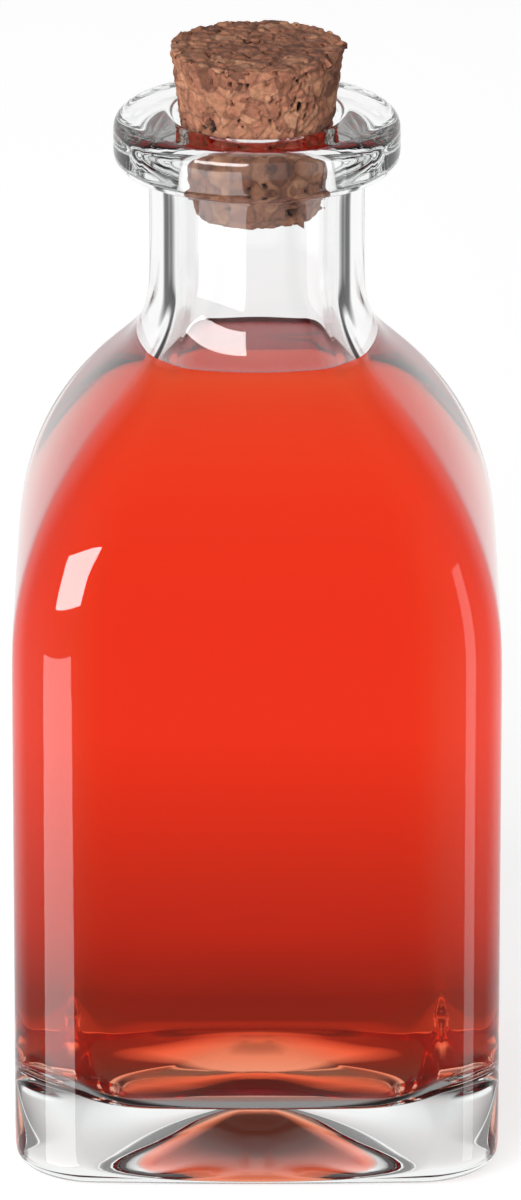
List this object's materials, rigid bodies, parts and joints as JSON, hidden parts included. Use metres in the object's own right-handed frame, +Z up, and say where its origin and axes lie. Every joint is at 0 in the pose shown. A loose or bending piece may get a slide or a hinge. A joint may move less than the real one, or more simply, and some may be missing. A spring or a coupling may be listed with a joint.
{
  "type": "glass bottle",
  "caption": "Square clear-glass bottle with domed shoulders, a round neck and a wide flat lip, filled with a red liquid and closed by a tapered cork that pulls out.",
  "frame": {"origin": "under the middle of the base, on the surface that the bottle stands on", "axes": "+Z up along the axis of the bottle, X and Y square to its flat sides, and the front side faces -Y"},
  "size_m": [0.046, 0.046, 0.107],
  "materials": {
    "glass": "polished",
    "liquid": "gloss",
    "cork": "matte"
  },
  "bodies": {
    "bottle": {"glass_bottle": "glass", "liquid": "liquid"},
    "cork": {"cork_stopper": "cork"}
  },
  "joints": [
    {"name": "cork_pull", "type": "slide", "parent": "bottle", "child": "cork", "axis": [0, 0, 1], "range_m": [0, 0.03]}
  ]
}
